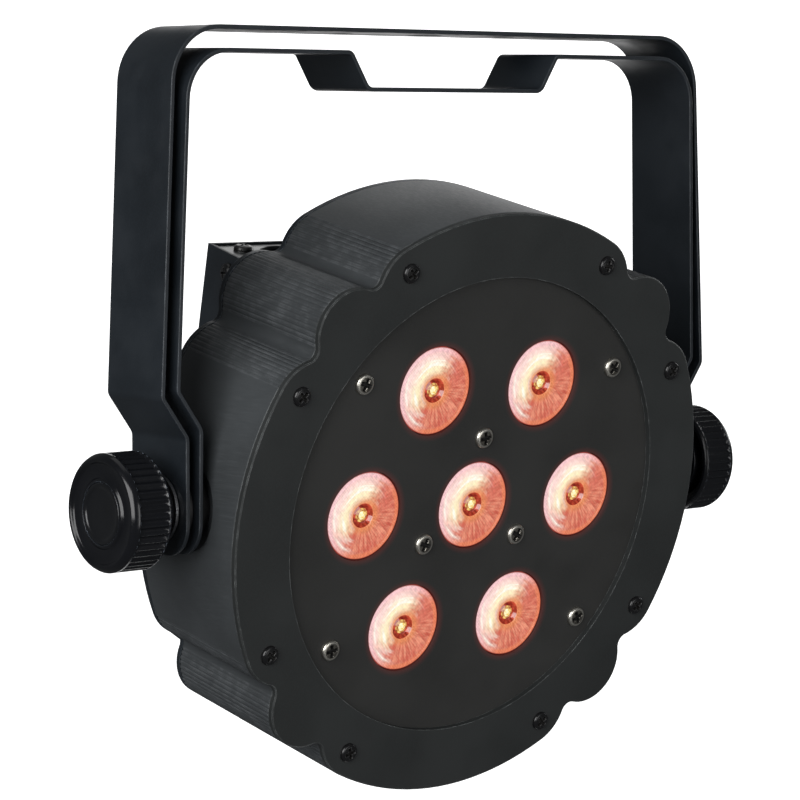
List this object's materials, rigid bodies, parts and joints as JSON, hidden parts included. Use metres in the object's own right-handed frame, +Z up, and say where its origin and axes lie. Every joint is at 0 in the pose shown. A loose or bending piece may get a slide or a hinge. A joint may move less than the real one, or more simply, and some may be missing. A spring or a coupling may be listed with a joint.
{
  "type": "led par can light",
  "caption": "Round flat stage light with scalloped extruded body, glowing lenses, rear connector box, clamp knobs and nested double hanging bracket.",
  "frame": {"origin": "middle of the clamp bolt hole in the top of the outer bracket", "axes": "+Z up along the clamp bolt, -Y the way the lenses face, +X to the lamp's left, which is the right of someone facing it"},
  "size_m": [0.226, 0.1085, 0.2177],
  "materials": {
    "powder_black": "satin powder coat",
    "housing_black": "satin anodised",
    "panel_black": "matt paint",
    "black_screw": "blackened",
    "stainless": "polished",
    "zinc_steel": "zinc plated",
    "lens_clear": "moulded",
    "holder_black": "matt",
    "board_white": "solder mask",
    "board_green": "solder mask",
    "phosphor": "cast resin",
    "bare_aluminium": "mill finish",
    "brass": "turned",
    "rubber": "matt",
    "nylon_black": "moulded",
    "knob_black": "gloss",
    "socket_black": "moulded",
    "smoked": "gloss",
    "button_grey": "moulded",
    "component": "moulded",
    "cable": "insulation"
  },
  "bodies": {
    "outer_bracket": {"outer_yoke": "powder_black"},
    "inner_bracket": {"inner_yoke": "powder_black", "yoke_spacers": "nylon_black"},
    "head": {"housing": "housing_black", "front_ring": "powder_black", "front_panel": "panel_black", "ring_screws": "black_screw", "panel_screws_outer": "stainless", "panel_screws_inner": "stainless", "panel_standoffs": "zinc_steel", "lenses": "lens_clear", "lens_holders": "holder_black", "led_board": "board_white", "emitters": "phosphor", "heat_plate": "bare_aluminium", "plate_brackets": "zinc_steel", "pivot_inserts": "zinc_steel", "pivot_pads": "rubber", "driver_posts": "zinc_steel", "driver_board": "board_green", "transformer": "component", "capacitors": "component", "driver_sink": "bare_aluminium", "fuse_link": "lens_clear", "back_plate": "powder_black", "back_screws": "black_screw", "rear_cover": "powder_black", "rear_end_top": "powder_black", "rear_end_bottom": "powder_black", "cover_tabs": "powder_black", "side_screws": "stainless", "top_screws": "stainless", "tab_screws": "black_screw", "dmx_in_socket": "socket_black", "dmx_in_pins": "brass", "dmx_out_socket": "socket_black", "socket_screws": "black_screw", "power_inlet": "socket_black", "power_inlet_blades": "brass", "power_outlet": "socket_black", "display_module": "component", "display_window": "smoked", "control_board": "board_green", "key_switches": "component", "safety_eye": "zinc_steel", "eye_screws": "black_screw", "earth_stud": "brass", "wiring": "cable"},
    "right_carrier": {"right_knob_washer": "zinc_steel"},
    "right_knob": {"right_knob": "knob_black", "right_knob_inlay": "knob_black", "right_knob_stud": "zinc_steel"},
    "left_carrier": {"left_knob_washer": "zinc_steel"},
    "left_knob": {"left_knob": "knob_black", "left_knob_inlay": "knob_black", "left_knob_stud": "zinc_steel"},
    "key_menu": {"button_menu": "button_grey"},
    "key_down": {"button_down": "button_grey"},
    "key_up": {"button_up": "button_grey"},
    "key_enter": {"button_enter": "button_grey"}
  },
  "joints": [
    {"name": "head_tilt", "type": "hinge", "parent": "outer_bracket", "child": "head", "pos_m": [0, 0, -0.129], "axis": [1, 0, 0], "range_deg": [-180, 180]},
    {"name": "inner_swing", "type": "hinge", "parent": "outer_bracket", "child": "inner_bracket", "pos_m": [0, 0, -0.129], "axis": [1, 0, 0], "range_deg": [-180, 180]},
    {"name": "right_knob_travel", "type": "slide", "parent": "head", "child": "right_carrier", "axis": [1, 0, 0], "range_m": [0, 0.00375]},
    {"name": "right_knob_turn", "type": "hinge", "parent": "right_carrier", "child": "right_knob", "pos_m": [0.1, 0, -0.129], "axis": [1, 0, 0], "range_deg": [0, 1080]},
    {"name": "left_knob_travel", "type": "slide", "parent": "head", "child": "left_carrier", "axis": [-1, 0, 0], "range_m": [0, 0.00375]},
    {"name": "left_knob_turn", "type": "hinge", "parent": "left_carrier", "child": "left_knob", "pos_m": [-0.1, 0, -0.129], "axis": [-1, 0, 0], "range_deg": [0, 1080]},
    {"name": "menu_press", "type": "slide", "parent": "head", "child": "key_menu", "axis": [0, -0.9806, -0.1959], "range_m": [0, 0.0005], "stiffness_N_per_m": 400, "springref_m": -0.0008},
    {"name": "down_press", "type": "slide", "parent": "head", "child": "key_down", "axis": [0, -0.9806, -0.1959], "range_m": [0, 0.0005], "stiffness_N_per_m": 400, "springref_m": -0.0008},
    {"name": "up_press", "type": "slide", "parent": "head", "child": "key_up", "axis": [0, -0.9806, -0.1959], "range_m": [0, 0.0005], "stiffness_N_per_m": 400, "springref_m": -0.0008},
    {"name": "enter_press", "type": "slide", "parent": "head", "child": "key_enter", "axis": [0, -0.9806, -0.1959], "range_m": [0, 0.0005], "stiffness_N_per_m": 400, "springref_m": -0.0008}
  ],
  "couplings": [
    {"joint": "right_knob_turn", "follows": "right_knob_travel", "rad_per_m": 5026.5},
    {"joint": "left_knob_turn", "follows": "left_knob_travel", "rad_per_m": 5026.5}
  ]
}
